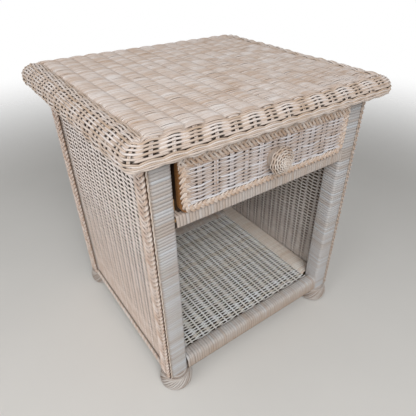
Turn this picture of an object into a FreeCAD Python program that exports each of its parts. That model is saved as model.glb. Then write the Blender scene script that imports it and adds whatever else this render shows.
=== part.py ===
import FreeCAD, Part
import math
import os

# Wicker nightstand: one drawer over an open shelf, woven panels on a wooden frame.
# Millimetres. +Z is up, the front faces -Y, and the origin is on the floor under the middle.

# Overall sizes
total_height = 608.0
carcass_width = 486.0
carcass_depth = 450.0

# Posts and feet
post_side = 40.0
post_round = 6.0
foot_height = 42.0
foot_socket_depth = 30.0
foot_wall = 2.7
foot_bulge = 6.5
foot_base_inset = 2.5
foot_belly_height = 18.0

# Top: woven field on a board, with a rolled border hanging round it
field_thickness = 6.0
field_bevel = 2.5
field_rib_pitch = 32.4
field_rib_height = 2.7
board_thickness = 9.0
border_step = 3.0
border_drop = 33.0
border_side_overhang = 41.0
border_front_overhang = 31.0
border_skin = 6.0
border_corner_radius = 22.0
border_nose_radius = 18.0

# Rails
bottom_rail_height = 37.0
front_rail_depth = 32.0
inner_rail_depth = 40.0
bottom_rail_round = 10.0
top_rail_height = 25.0
top_rail_depth = 20.0
drawer_rail_height = 24.5
drawer_opening_height = 111.5

# Woven panels, shelf and trim
panel_thickness = 8.0
panel_rib_pitch = 33.6
panel_rib_height = 2.4
back_inset = 12.0
shelf_thickness = 8.0
shelf_drop = 5.0
shelf_bar_width = 36.0
shelf_bar_height = 22.0
braid_width = 36.0
braid_thickness = 4.0
edging_height = 12.0
edging_thickness = 5.0

# Share of a rib's width that is flat along its crest
rib_land = 0.3

# Drawer runners and stops
runner_thickness = 12.0
runner_width = 32.0
guide_height = 20.0
stop_length = 12.0
stop_height = 18.0
stop_width = 18.0
slide_clearance = 0.4
stop_clearance = 0.3

# Drawer
drawer_side_gap = 9.0
drawer_under_gap = 2.0
drawer_over_gap = 3.0
drawer_proud = 7.0
drawer_board_thickness = 12.0
drawer_facing_thickness = 5.0
drawer_corner_radius = 15.0
drawer_braid_top = 26.0
drawer_braid_side = 20.0
drawer_braid_bottom = 16.0
drawer_wall = 10.0
drawer_side_height = 83.0
drawer_back_height = 64.0
drawer_box_inset = 1.0
drawer_bottom_thickness = 4.0
drawer_bottom_lift = 7.0
groove_depth = 5.0
groove_clearance = 0.2

# Knob
knob_below_middle = 6.0
knob_head_diameter = 50.0
knob_rim_depth = 4.5
knob_dome_depth = 5.0
knob_neck_diameter = 38.0
knob_neck_length = 14.5

# Dowels and screws
dowel_diameter = 8.0
dowel_length = 36.0
dowel_spread = 16.0
screw_diameter = 4.0
screw_head_diameter = 8.0
screw_head_depth = 2.5
screw_tip_cover = 2.0
screw_bite = 20.0
top_screw_spacing = 200.0
bore_clearance = 0.15

# Levels and planes worked out from the sizes above
field_bottom = total_height - field_thickness
frame_top = field_bottom - board_thickness
half_width = carcass_width / 2
half_depth = carcass_depth / 2
opening_half = half_width - post_side
post_inner_y = half_depth - post_side
panel_inner_x = half_width - panel_thickness
back_panel_outer = half_depth - back_inset
back_panel_inner = back_panel_outer - panel_thickness
rail_bottom = foot_height
rail_top = rail_bottom + bottom_rail_height
side_rail_inner = panel_inner_x - inner_rail_depth
front_rail_back = -half_depth + front_rail_depth
back_rail_front = back_panel_inner - inner_rail_depth
top_rail_bottom = frame_top - top_rail_height
slim_rail_back = -half_depth + top_rail_depth
slim_rail_front = back_panel_inner - top_rail_depth
drawer_rail_top = top_rail_bottom - drawer_opening_height
drawer_rail_bottom = drawer_rail_top - drawer_rail_height
shelf_top = rail_top - shelf_drop
shelf_bottom = shelf_top - shelf_thickness
border_top = total_height - border_step
border_bottom = border_top - border_drop
border_half_x = half_width + border_side_overhang
border_half_y = half_depth + border_front_overhang

drawer_half = opening_half - drawer_side_gap
drawer_face = -half_depth - drawer_proud
drawer_board_front = drawer_face + drawer_facing_thickness
drawer_board_back = drawer_board_front + drawer_board_thickness
drawer_bottom_edge = drawer_rail_top + drawer_under_gap
drawer_top_edge = top_rail_bottom - drawer_over_gap
drawer_box_half = drawer_half - drawer_box_inset
drawer_box_bottom = drawer_rail_top + slide_clearance
drawer_box_back = slim_rail_front - stop_length - stop_clearance
guide_inner = drawer_box_half + slide_clearance
knob_height = (drawer_bottom_edge + drawer_top_edge) / 2 - knob_below_middle

origin = FreeCAD.Vector(0, 0, 0)
along_x = FreeCAD.Vector(1, 0, 0)
along_y = FreeCAD.Vector(0, 1, 0)
along_z = FreeCAD.Vector(0, 0, 1)

pieces = {}
bores = []


def box(x0, x1, y0, y1, z0, z1):
    return Part.makeBox(x1 - x0, y1 - y0, z1 - z0, FreeCAD.Vector(x0, y0, z0))


def to_right(shape):
    return shape.mirror(origin, along_x)


def is_upright(edge):
    return edge.BoundBox.ZLength > max(edge.BoundBox.XLength, edge.BoundBox.YLength)


def round_edges(shape, radius, wanted):
    return shape.makeFillet(radius, [edge for edge in shape.Edges if wanted(edge)])


def round_top(shape, radius, wanted):
    top = shape.BoundBox.ZMax

    def on_top(edge):
        return edge.BoundBox.ZMin > top - 0.01 and wanted(edge)

    return round_edges(shape, radius, on_top)


def turned(points_and_curves, centre, direction):
    face = Part.Face(Part.Wire(points_and_curves))
    return face.revolve(centre, direction, 360)


def line(a, b):
    return Part.LineSegment(a, b).toShape()


def arc(a, b, c):
    return Part.Arc(a, b, c).toShape()


# Ribs of the weave, one over each stake: a flat land along the crest and a rounded fall on both sides.
# The stakes are an odd number, so one is in the middle. The place function puts a point in the frame.

def ribbed_edges(start, end, pitch, valley, crest, place):
    count = 2 * round((abs(end - start) / pitch - 1) / 2) + 1
    step = (end - start) / count
    fall = step * (1 - rib_land) / 2
    height = abs(crest - valley)
    radius = (fall ** 2 + height ** 2) / (2 * height)
    half_sweep = math.asin(abs(fall) / radius) / 2
    part_way = radius * math.sin(half_sweep) * (1 if step > 0 else -1)
    part_crest = crest + radius * (1 - math.cos(half_sweep)) * (1 if valley > crest else -1)
    edges = []
    for i in range(count):
        left = start + step * i
        right = left + step
        edges.append(arc(place(left, valley), place(left + fall - part_way, part_crest),
                         place(left + fall, crest)))
        edges.append(line(place(left + fall, crest), place(right - fall, crest)))
        edges.append(arc(place(right - fall, crest), place(right - fall + part_way, part_crest),
                         place(right, valley)))
    return edges


# A sheet woven on both faces: its ribs run along the sweep, and near and far are the two crest levels.

def ribbed_sheet(start, end, near, far, place, sweep):
    near_valley = near + math.copysign(panel_rib_height, far - near)
    far_valley = far - math.copysign(panel_rib_height, far - near)
    outline = ribbed_edges(start, end, panel_rib_pitch, near_valley, near, place)
    outline.append(line(place(end, near_valley), place(end, far_valley)))
    outline += ribbed_edges(end, start, panel_rib_pitch, far_valley, far, place)
    outline.append(line(place(start, far_valley), place(start, near_valley)))
    return Part.Face(Part.Wire(outline)).extrude(sweep)


def bored(shape):
    for bore in bores:
        if shape.BoundBox.intersect(bore.BoundBox):
            shape = shape.cut(bore)
    return shape


# Fasteners come first, because the pieces that they join are bored for them.

def dowel(joint, direction):
    start = joint - direction * (dowel_length / 2)
    radius = dowel_diameter / 2
    bore_start = start - direction * bore_clearance
    bore_length = dowel_length + 2 * bore_clearance
    bores.append(Part.makeCylinder(radius + bore_clearance, bore_length, bore_start, direction))
    return Part.makeCylinder(radius, dowel_length, start, direction)


def screw(head_face, direction, length):
    radius = screw_diameter / 2
    head_radius = screw_head_diameter / 2
    shank = Part.makeCylinder(radius, length, head_face, direction)
    head = Part.makeCone(head_radius, radius, screw_head_depth, head_face, direction)
    hole = Part.makeCylinder(radius + bore_clearance, length + bore_clearance, head_face, direction)
    sink = Part.makeCone(head_radius + bore_clearance, radius + bore_clearance, screw_head_depth,
                         head_face, direction)
    bores.append(hole.fuse(sink))
    return shank.fuse(head).removeSplitter()


def make_dowels():
    rail_middle = (rail_bottom + rail_top) / 2
    high = rail_middle + dowel_spread / 2
    low = rail_middle - dowel_spread / 2
    top_middle = (top_rail_bottom + frame_top) / 2
    drawer_rail_middle = (drawer_rail_bottom + drawer_rail_top) / 2
    slim_front = -half_depth + top_rail_depth / 2
    slim_back = back_panel_inner - top_rail_depth / 2
    bottom_front = -half_depth + front_rail_depth / 2
    back_joint_y = (back_rail_front + post_inner_y) / 2
    side_rail_middle = (panel_inner_x + opening_half) / 2
    side_top_middle = panel_inner_x - top_rail_depth / 2
    made = []
    for side in (-1, 1):
        x = side * opening_half
        across = [(x, bottom_front, high), (x, slim_front, drawer_rail_middle),
                  (x, slim_front, top_middle), (x, slim_back, drawer_rail_middle),
                  (x, slim_back, top_middle), (side * side_rail_inner, back_joint_y, high)]
        for spot in across:
            made.append(dowel(FreeCAD.Vector(*spot), along_x))
        for end in (-1, 1):
            y = end * post_inner_y
            made.append(dowel(FreeCAD.Vector(side * side_rail_middle, y, low), along_y))
            made.append(dowel(FreeCAD.Vector(side * side_top_middle, y, top_middle), along_y))
    pieces["frame_dowels"] = Part.makeCompound(made)


def make_screws():
    top_screws = []
    runner_screws = []
    top_length = top_rail_height + board_thickness - screw_tip_cover
    guide_middle = drawer_rail_top + guide_height / 2
    front_y = (slim_rail_back - post_inner_y) / 2
    runner_middle_x = opening_half - runner_width / 2
    runner_middle_z = drawer_rail_top - runner_thickness / 2
    for side in (-1, 1):
        for end in (-1, 1):
            x = side * (panel_inner_x - top_rail_depth / 2)
            spot = FreeCAD.Vector(x, end * top_screw_spacing / 2, top_rail_bottom)
            top_screws.append(screw(spot, along_z, top_length))
        spot = FreeCAD.Vector(side * guide_inner, front_y, guide_middle)
        into_post = opening_half - guide_inner + screw_bite
        runner_screws.append(screw(spot, along_x * side, into_post))
        spot = FreeCAD.Vector(side * runner_middle_x, back_panel_inner, runner_middle_z)
        runner_screws.append(screw(spot, along_y * -1, top_rail_depth + screw_bite))
    pieces["top_screws"] = Part.makeCompound(top_screws)
    pieces["runner_screws"] = Part.makeCompound(runner_screws)

    head_seat = FreeCAD.Vector(0, drawer_board_back, knob_height)
    reach = drawer_board_thickness + drawer_facing_thickness + knob_neck_length
    pieces["knob_screw"] = screw(head_seat, along_y * -1, reach)


# Frame: posts, feet and rails

def post_solid(side, end):
    middle_x = side * (half_width - post_side / 2)
    middle_y = end * (half_depth - post_side / 2)
    half = post_side / 2
    body = box(middle_x - half, middle_x + half, middle_y - half, middle_y + half,
               foot_height - foot_socket_depth, frame_top)
    return round_edges(body, post_round, is_upright)


def foot_solid(post, side, end):
    middle_x = side * (half_width - post_side / 2)
    middle_y = end * (half_depth - post_side / 2)
    post_corner = (post_side / 2 - post_round) * math.sqrt(2) + post_round
    neck_radius = post_corner + foot_wall
    base_radius = neck_radius - foot_base_inset

    def at(radius, height):
        return FreeCAD.Vector(middle_x + radius, middle_y, height)

    outline = [line(at(0, 0), at(base_radius, 0)),
               arc(at(base_radius, 0), at(neck_radius + foot_bulge, foot_belly_height),
                   at(neck_radius, foot_height)),
               line(at(neck_radius, foot_height), at(0, foot_height)),
               line(at(0, foot_height), at(0, 0))]
    return turned(outline, at(0, 0), along_z).cut(post)


def make_posts_and_feet():
    for end, end_name in ((-1, "front"), (1, "back")):
        for side, side_name in ((-1, "left"), (1, "right")):
            post = post_solid(side, end)
            name = end_name + "_" + side_name
            pieces[name + "_foot"] = foot_solid(post, side, end)
            pieces[name + "_post"] = bored(post)


def make_bottom_rails():
    front = box(-opening_half, opening_half, -half_depth, front_rail_back, rail_bottom, rail_top)

    def runs_across(edge):
        return edge.BoundBox.XLength > front_rail_depth

    front = round_top(front, bottom_rail_round, runs_across)
    pieces["front_bottom_rail"] = bored(front)

    back = box(-side_rail_inner, side_rail_inner, back_rail_front, back_panel_inner,
               rail_bottom, rail_top)

    def faces_shelf(edge):
        return edge.BoundBox.YMax < back_rail_front + 0.01

    back = round_top(back, bottom_rail_round, faces_shelf)
    pieces["back_bottom_rail"] = bored(back)

    left = box(-panel_inner_x, -side_rail_inner, -post_inner_y, post_inner_y, rail_bottom, rail_top)

    def faces_middle(edge):
        return edge.BoundBox.XMin > -side_rail_inner - 0.01

    left = round_top(left, bottom_rail_round, faces_middle)
    pieces["left_bottom_rail"] = bored(left)
    pieces["right_bottom_rail"] = bored(to_right(left))


def make_slim_rails():
    front_top = box(-opening_half, opening_half, -half_depth, slim_rail_back, top_rail_bottom, frame_top)
    back_top = box(-opening_half, opening_half, slim_rail_front, back_panel_inner,
                   top_rail_bottom, frame_top)
    left_top = box(-panel_inner_x, -panel_inner_x + top_rail_depth, -post_inner_y, post_inner_y,
                   top_rail_bottom, frame_top)
    under_drawer = box(-opening_half, opening_half, -half_depth, slim_rail_back,
                       drawer_rail_bottom, drawer_rail_top)
    back_middle = box(-opening_half, opening_half, slim_rail_front, back_panel_inner,
                      drawer_rail_bottom, drawer_rail_top)
    pieces["front_top_rail"] = bored(front_top)
    pieces["back_top_rail"] = bored(back_top)
    pieces["left_top_rail"] = bored(left_top)
    pieces["right_top_rail"] = bored(to_right(left_top))
    pieces["drawer_rail"] = bored(under_drawer)
    pieces["back_middle_rail"] = bored(back_middle)


# Woven panels, shelf and the plaited trim down the corners

def make_panels():
    upright = along_z * (frame_top - rail_bottom)

    def on_side(along, level):
        return FreeCAD.Vector(level, along, rail_bottom)

    def on_back(along, level):
        return FreeCAD.Vector(along, level, rail_bottom)

    left = ribbed_sheet(-post_inner_y, post_inner_y, -half_width, -panel_inner_x, on_side, upright)
    pieces["left_panel"] = left
    pieces["right_panel"] = to_right(left)
    pieces["back_panel"] = ribbed_sheet(-opening_half, opening_half, back_panel_outer, back_panel_inner,
                                        on_back, upright)


def make_shelf():
    pieces["shelf_panel"] = box(-side_rail_inner, side_rail_inner, front_rail_back, back_rail_front,
                                shelf_bottom, shelf_top)
    middle = (front_rail_back + back_rail_front) / 2
    pieces["shelf_bar"] = box(-side_rail_inner, side_rail_inner,
                              middle - shelf_bar_width / 2, middle + shelf_bar_width / 2,
                              shelf_bottom - shelf_bar_height, shelf_bottom)


def make_trim():
    outer = -half_width - braid_thickness
    for end, end_name in ((-1, "front"), (1, "back")):
        edge = end * half_depth
        inner = end * (half_depth - braid_width)
        braid = box(outer, -half_width, min(edge, inner), max(edge, inner), rail_bottom, frame_top)
        pieces["left_" + end_name + "_braid"] = braid
        pieces["right_" + end_name + "_braid"] = to_right(braid)
    reach = half_depth - braid_width
    edging = box(-half_width - edging_thickness, -half_width, -reach, reach,
                 rail_bottom, rail_bottom + edging_height)
    pieces["left_bottom_edging"] = edging
    pieces["right_bottom_edging"] = to_right(edging)


# Top

def make_top():
    board = box(-half_width, half_width, -half_depth, half_depth, frame_top, field_bottom)
    pieces["top_board"] = bored(board)

    def on_front(along, level):
        return FreeCAD.Vector(along, -half_depth, level)

    valley = total_height - field_rib_height
    outline = ribbed_edges(-half_width, half_width, field_rib_pitch, valley, total_height, on_front)
    outline.append(line(on_front(half_width, valley), on_front(half_width, field_bottom)))
    outline.append(line(on_front(half_width, field_bottom), on_front(-half_width, field_bottom)))
    outline.append(line(on_front(-half_width, field_bottom), on_front(-half_width, valley)))
    field = Part.Face(Part.Wire(outline)).extrude(along_y * carcass_depth)
    bevel = front_bevel()
    pieces["top_weave"] = field.cut(bevel).cut(bevel.mirror(origin, along_y))


# Wedge that takes the sharp edge off the front of the field, a little larger than what it cuts

def front_bevel():
    over = field_bevel

    def corner(y, z):
        return FreeCAD.Vector(-half_width - over, -half_depth + y, total_height + z)

    points = [corner(field_bevel + over, over), corner(-over, over), corner(-over, -field_bevel - over)]
    wedge = Part.Face(Part.makePolygon(points + points[:1]))
    return wedge.extrude(along_x * (carcass_width + 2 * over))


def rolled_block(inset, height_top):
    half_x = border_half_x - inset
    half_y = border_half_y - inset
    block = box(-half_x, half_x, -half_y, half_y, border_bottom, height_top)
    block = round_edges(block, border_corner_radius - inset, is_upright)
    return round_top(block, border_nose_radius - inset, lambda edge: True)


def make_border():
    outside = rolled_block(0, border_top)
    hollow = rolled_block(border_skin, border_top - border_skin)
    lid = box(-half_width, half_width, -half_depth, half_depth, border_bottom, total_height)
    pieces["top_border"] = outside.cut(hollow).cut(lid)


# Drawer and what it runs on

def make_runners():
    base = box(-opening_half, -opening_half + runner_width, slim_rail_back, slim_rail_front,
               drawer_rail_top - runner_thickness, drawer_rail_top)
    guide = box(-opening_half, -guide_inner, slim_rail_back, slim_rail_front,
                drawer_rail_top, drawer_rail_top + guide_height)
    left = base.fuse(guide).removeSplitter()
    pieces["left_runner"] = bored(left)
    pieces["right_runner"] = bored(to_right(left))
    stop = box(-guide_inner, -guide_inner + stop_width, slim_rail_front - stop_length, slim_rail_front,
               drawer_rail_top, drawer_rail_top + stop_height)
    pieces["drawer_stops"] = Part.makeCompound([stop, to_right(stop)])


def front_plate(inset_side, inset_bottom, inset_top, y_front, y_back):
    plate = box(-drawer_half + inset_side, drawer_half - inset_side, y_front, y_back,
                drawer_bottom_edge + inset_bottom, drawer_top_edge - inset_top)
    return plate


def round_lower_corners(plate, radius):
    low = plate.BoundBox.ZMin

    def lower_corner(edge):
        runs_through = edge.BoundBox.YLength > edge.BoundBox.XLength
        return runs_through and edge.BoundBox.ZMax < low + 0.01

    return round_edges(plate, radius, lower_corner)


def make_drawer_front():
    board = front_plate(0, 0, 0, drawer_board_front, drawer_board_back)
    board = round_lower_corners(board, drawer_corner_radius)
    pieces["drawer_front_board"] = bored(board.cut(bottom_slot()))
    facing = front_plate(drawer_braid_side, drawer_braid_bottom, drawer_braid_top,
                         drawer_face, drawer_board_front)
    rim = front_plate(0, 0, 0, drawer_face, drawer_board_front)
    rim = round_lower_corners(rim, drawer_corner_radius)
    pieces["drawer_front_braid"] = rim.cut(facing)
    pieces["drawer_front_weave"] = bored(facing)


def bottom_panel(extra):
    half = drawer_box_half - drawer_wall + groove_depth
    low = drawer_box_bottom + drawer_bottom_lift
    return box(-half - extra, half + extra, drawer_board_back - groove_depth - extra, drawer_box_back,
               low - extra, low + drawer_bottom_thickness + extra)


def bottom_slot():
    return bottom_panel(groove_clearance)


def make_drawer_box():
    left = box(-drawer_box_half, -drawer_box_half + drawer_wall, drawer_board_back, drawer_box_back,
               drawer_box_bottom, drawer_box_bottom + drawer_side_height)
    left = left.cut(bottom_slot())
    pieces["drawer_left_side"] = left
    pieces["drawer_right_side"] = to_right(left)
    pieces["drawer_bottom"] = bottom_panel(0)
    back_low = drawer_box_bottom + drawer_bottom_lift + drawer_bottom_thickness
    inside = drawer_box_half - drawer_wall
    pieces["drawer_back"] = box(-inside, inside, drawer_box_back - drawer_wall, drawer_box_back,
                                back_low, back_low + drawer_back_height)


def make_knob():
    head_back = drawer_face - knob_neck_length
    rim_front = head_back - knob_rim_depth
    front = rim_front - knob_dome_depth
    neck_radius = knob_neck_diameter / 2
    head_radius = knob_head_diameter / 2
    dome_radius = (head_radius ** 2 + knob_dome_depth ** 2) / (2 * knob_dome_depth)
    half_sweep = math.asin(head_radius / dome_radius) / 2

    def at(radius, y):
        return FreeCAD.Vector(radius, y, knob_height)

    dome_middle = at(dome_radius * math.sin(half_sweep),
                     front + dome_radius * (1 - math.cos(half_sweep)))
    outline = [line(at(0, drawer_face), at(neck_radius, drawer_face)),
               line(at(neck_radius, drawer_face), at(neck_radius, head_back)),
               line(at(neck_radius, head_back), at(head_radius, head_back)),
               line(at(head_radius, head_back), at(head_radius, rim_front)),
               arc(at(head_radius, rim_front), dome_middle, at(0, front)),
               line(at(0, front), at(0, drawer_face))]
    pieces["drawer_knob"] = bored(turned(outline, at(0, 0), along_y))


make_dowels()
make_screws()
make_posts_and_feet()
make_bottom_rails()
make_slim_rails()
make_panels()
make_shelf()
make_trim()
make_top()
make_border()
make_runners()
make_drawer_front()
make_drawer_box()
make_knob()

os.makedirs("parts", exist_ok=True)
for name, shape in pieces.items():
    shape.exportStep("parts/" + name + ".step")
    print(name, len(shape.Solids), "solid", round(shape.Volume / 1000, 1), "cm3", shape.isValid())
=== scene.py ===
import math

import bmesh
import bpy
import numpy as np
from mathutils import Matrix, Vector


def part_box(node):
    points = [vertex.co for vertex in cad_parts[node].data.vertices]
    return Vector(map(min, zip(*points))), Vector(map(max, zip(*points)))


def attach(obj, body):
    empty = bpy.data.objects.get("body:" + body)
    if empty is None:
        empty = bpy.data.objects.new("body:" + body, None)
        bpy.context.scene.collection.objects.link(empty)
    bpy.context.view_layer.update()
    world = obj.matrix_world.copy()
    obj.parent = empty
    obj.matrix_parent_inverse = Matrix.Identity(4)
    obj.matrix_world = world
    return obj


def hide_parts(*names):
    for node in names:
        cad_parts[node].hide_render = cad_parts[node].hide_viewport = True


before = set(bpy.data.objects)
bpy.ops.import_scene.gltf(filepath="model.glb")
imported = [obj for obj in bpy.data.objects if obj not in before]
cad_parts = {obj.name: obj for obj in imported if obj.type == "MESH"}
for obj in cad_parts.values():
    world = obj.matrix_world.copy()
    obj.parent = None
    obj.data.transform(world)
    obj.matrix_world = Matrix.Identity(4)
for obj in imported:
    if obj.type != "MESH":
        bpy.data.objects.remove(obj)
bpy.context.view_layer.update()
mm = 0.001
print("frame loaded,", len(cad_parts), "nodes")


# a CAD node's reach along one axis in mm, run on past both its ends
def reachOf(node, axis, past=0.0):
    low, high = (round(corner["xyz".index(axis)] / mm, 2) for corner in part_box(node))
    return low - past, high + past


def centreOf(node, axis):
    return sum(reachOf(node, axis)) / 2


def linearColour(hexCode):
    channels = [int(hexCode[i:i + 2], 16) / 255 for i in (1, 3, 5)]
    return [c / 12.92 if c <= 0.04045 else ((c + 0.055) / 1.055) ** 2.4 for c in channels] + [1.0]


# adds one node; settings go on its properties or its input sockets, links come in as socket pairs
def addNode(tree, kind, settings=None, links=None):
    node = tree.nodes.new("ShaderNode" + kind)
    for key, value in (settings or {}).items():
        if isinstance(key, str) and hasattr(node, key):
            setattr(node, key, value)
        else:
            node.inputs[key].default_value = value
    for key, (source, output) in (links or {}).items():
        tree.links.new(source.outputs[output], node.inputs[key])
    return node


def emptyMaterial(name):
    material = bpy.data.materials.new(name)
    material.use_nodes = True
    material.node_tree.nodes.clear()
    return material, material.node_tree


def closeMaterial(tree, settings, links):
    shader = addNode(tree, "BsdfPrincipled", settings, links)
    addNode(tree, "OutputMaterial", None, {"Surface": (shader, "BSDF")})


# a colour in patches a little lighter and darker than itself
def mottled(tree, colour, patchMm, low, high):
    place = addNode(tree, "TexCoord")
    patches = addNode(tree, "TexNoise", {"Scale": 1 / (patchMm * mm), "Detail": 3.0},
                      {"Vector": (place, "Object")})
    tint = addNode(tree, "MapRange", {"To Min": low, "To Max": high}, {"Value": (patches, "Fac")})
    return addNode(tree, "Mix", {"data_type": "RGBA", "blend_type": "MULTIPLY", 0: 1.0,
                                 6: linearColour(colour)}, {7: (tint, "Result")})


# Willow and cane strands

# lime-washed reed: matt split fibre, tan where rubbed, chalky white wash left on it in streaks,
# and painted shade in the dip colour where a strand dips into the weave
def limedReed(name, look):
    material, tree = emptyMaterial(name)
    place = addNode(tree, "TexCoord")
    fibre = addNode(tree, "UVMap", {"uv_map": "fibre"})
    tone = addNode(tree, "Attribute", {"attribute_name": "tone"})
    lift = addNode(tree, "Attribute", {"attribute_name": "lift"})
    blotch = addNode(tree, "TexNoise", {"Scale": 1 / (look["blotchMm"] * mm), "Detail": 3.0,
                                        "Roughness": 0.6}, {"Vector": (place, "Object")})
    along = addNode(tree, "Mapping", {"Scale": (1 / look["streakMm"], 3.0, 1.0)}, {"Vector": (fibre, "UV")})
    streak = addNode(tree, "TexNoise", {"Scale": 1.0, "Detail": 4.0, "Roughness": 0.65},
                     {"Vector": (along, "Vector")})
    grain = addNode(tree, "TexNoise", {"Scale": 1 / (look["grainMm"] * mm), "Detail": 2.0, "Roughness": 0.7},
                    {"Vector": (place, "Object")})

    toned = addNode(tree, "Math", {"operation": "MULTIPLY", 1: look["tonePart"]}, {0: (tone, "Fac")})
    mixed = addNode(tree, "Math", {"operation": "MULTIPLY_ADD", 1: look["streakPart"]},
                    {0: (streak, "Fac"), 2: (toned, "Value")})
    wash = addNode(tree, "Math", {"operation": "MULTIPLY_ADD", 1: look["blotchPart"]},
                   {0: (blotch, "Fac"), 2: (mixed, "Value")})
    middle = (look["tonePart"] + look["streakPart"] + look["blotchPart"]) / 2
    washFac = addNode(tree, "MapRange", {"From Min": middle - 0.5, "From Max": middle + 0.5},
                      {"Value": (wash, "Value")})
    colours = {6: linearColour(look["tan"]), 7: linearColour(look["wash"])}
    body = addNode(tree, "Mix", {"data_type": "RGBA", **colours}, {0: (washFac, "Result")})
    stainFac = addNode(tree, "MapRange", {"From Min": 0.60, "From Max": 0.78, "To Max": look["stainPart"]},
                       {"Value": (grain, "Fac")})
    stained = addNode(tree, "Mix", {"data_type": "RGBA", 7: linearColour(look["stain"])},
                      {0: (stainFac, "Result"), 6: (body, 2)})
    # painted shade: the lower a strand's lift, the more it is mixed toward the dip colour, standing in for
    # the shade inside the weave
    dipShadeFac = addNode(tree, "MapRange", {"From Min": look["dipFrom"], "From Max": look["dipTo"],
                                        "To Max": look["dipPart"], "interpolation_type": "SMOOTHSTEP"},
                     {"Value": (lift, "Fac")})
    final = addNode(tree, "Mix", {"data_type": "RGBA", 7: linearColour(look["dip"])},
                    {0: (dipShadeFac, "Result"), 6: (stained, 2)})
    rough = addNode(tree, "MapRange", {"To Min": look["rough"] - 0.08, "To Max": look["rough"] + 0.1},
                    {"Value": (streak, "Fac")})
    bump = addNode(tree, "Bump", {"Strength": 0.25, "Distance": 0.3 * mm}, {"Height": (streak, "Fac")})
    closeMaterial(tree, {"IOR": 1.5, "Specular IOR Level": 0.35},
                  {"Base Color": (final, 2), "Roughness": (rough, "Result"), "Normal": (bump, "Normal")})
    return material


# adds a point just past each open end, where the reed is drawn in to a blunt tip
def tipped(strand):
    points, radius, tone, lift, closed, *rest = strand
    if closed or lift is None:
        return strand
    points = np.asarray(points, dtype=float)
    radius, tone, lift = (np.pad(np.broadcast_to(part, len(points)), 1, mode="edge")
                          for part in (radius, tone, lift))
    ends = []
    for end, before in ((points[0], points[1]), (points[-1], points[-2])):
        ends.append(end + (end - before) / np.linalg.norm(end - before) * radius[0] / 2)
    if rest:
        rest[0] = np.pad(np.asarray(rest[0], dtype=float), ((1, 1), (0, 0)), mode="edge")
    return (np.vstack([ends[0], points, ends[1]]), radius, tone, lift, closed, *rest)


sides = 6            # of each reed's section, enough for reed a few mm thick
tipShare = 0.1       # of the radius that is left at a tip
reedSpread = 0.05    # share by which reeds differ in thickness


# strands: list of (points, radius, tone, lift, closed[, normals, thickness]); points in mm,
# radius a number or one per point, lift one per point from -1 in a dip to 1 on a crest
def strandPiece(name, strands, material, body, nodes):
    strands = [tipped(strand) for strand in strands]
    curve = bpy.data.curves.new(name, "CURVE")
    curve.dimensions = "3D"
    curve.bevel_depth = 1.0
    curve.bevel_resolution = sides // 2 - 2
    curve.use_fill_caps = False    # ends are drawn in to a tip instead
    for points, radius, tone, lift, closed, *rest in strands:
        count = len(points)
        spline = curve.splines.new("POLY")
        spline.points.add(count - 1)
        flat = np.ones((count, 4))
        flat[:, :3] = np.asarray(points) * mm
        spline.points.foreach_set("co", flat.ravel())
        taper = np.ones(count)
        if lift is not None and not closed:
            taper[[0, -1]] = tipShare
        spline.points.foreach_set("radius", np.broadcast_to(radius, count) * taper * mm)
        spline.use_cyclic_u = closed
    holder = bpy.data.objects.new(name + "_path", curve)
    bpy.context.scene.collection.objects.link(holder)
    bpy.context.view_layer.update()
    mesh = bpy.data.meshes.new_from_object(holder.evaluated_get(bpy.context.evaluated_depsgraph_get()))
    bpy.data.objects.remove(holder)
    bpy.data.curves.remove(curve)
    mesh.name = name

    total = len(mesh.vertices)
    place = np.empty(total * 3)
    mesh.vertices.foreach_get("co", place)
    place = place.reshape(-1, 3)
    toneOf = np.zeros(total)
    liftOf = np.zeros(total)
    rowOf = np.zeros(total, dtype=int)
    lengths = []
    start = 0
    for index, (points, radius, tone, lift, closed, *rest) in enumerate(strands):
        points = np.asarray(points, dtype=float)
        end = start + len(points) * sides
        toneOf[start:end] = np.repeat(np.broadcast_to(tone, len(points)), sides)
        liftOf[start:end] = np.repeat(np.broadcast_to(0 if lift is None else lift, len(points)), sides)
        rowOf[start:end] = index
        lengths.append(np.linalg.norm(np.diff(points, axis=0), axis=1).sum())
        if rest:
            normals, thickness = rest
            centre = np.repeat(points * mm, sides, axis=0)
            outward = np.repeat(np.asarray(normals, dtype=float), sides, axis=0)
            high = ((place[start:end] - centre) * outward).sum(axis=1)
            # a cane's lift falls toward its edges, so the dip colour lays painted shade between the turns
            if lift is None:       # wound cane is low along its edges
                liftOf[start:end] = high / (np.mean(radius) * mm)
            else:                  # a dip on one face of the weave is a crest on the other
                liftOf[start:end] *= np.clip(high / (0.7 * np.mean(radius) * mm), -1, 1)
            if thickness:          # flat cane: thin across its outward normal
                place[start:end] += outward * high[:, None] * (thickness / (2 * np.mean(radius)) - 1)
        start = end
    mesh.vertices.foreach_set("co", place.ravel())
    # lift also masks the painted shade that limedReed lays in the dips
    for label, values in (("tone", toneOf), ("lift", liftOf)):
        layer = mesh.attributes.new(label, "FLOAT", "POINT")
        layer.data.foreach_set("value", values.astype(np.float32))

    # each strand is a strip of the bake's map, and in fibre its length and girth are in mm
    fibre = mesh.uv_layers[0]
    fibre.name = "fibre"
    loops = len(mesh.loops)
    uv = np.empty(loops * 2)
    fibre.data.foreach_get("uv", uv)
    uv = uv.reshape(-1, 2)
    vertexOf = np.empty(loops, dtype=int)
    mesh.loops.foreach_get("vertex_index", vertexOf)
    row = rowOf[vertexOf]
    endGap = 0.002
    sideGap = 0.06
    shift = (37.0, 1.7)            # from strand to strand, so that no two show the same streaks
    strip = np.stack([endGap + (1 - 2 * endGap) * uv[:, 0],
                      (row + sideGap + (1 - 2 * sideGap) * uv[:, 1]) / len(strands)], axis=1)
    long = np.stack([uv[:, 0] * np.array(lengths)[row] + row * shift[0], uv[:, 1] + row * shift[1]], axis=1)
    fibre.data.foreach_set("uv", long.ravel())
    baked = mesh.uv_layers.new(name="OFBake")
    baked.data.foreach_set("uv", strip.ravel())
    mesh.uv_layers.active = baked
    mesh.update()
    addPiece(name, mesh, material, body, nodes)


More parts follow.
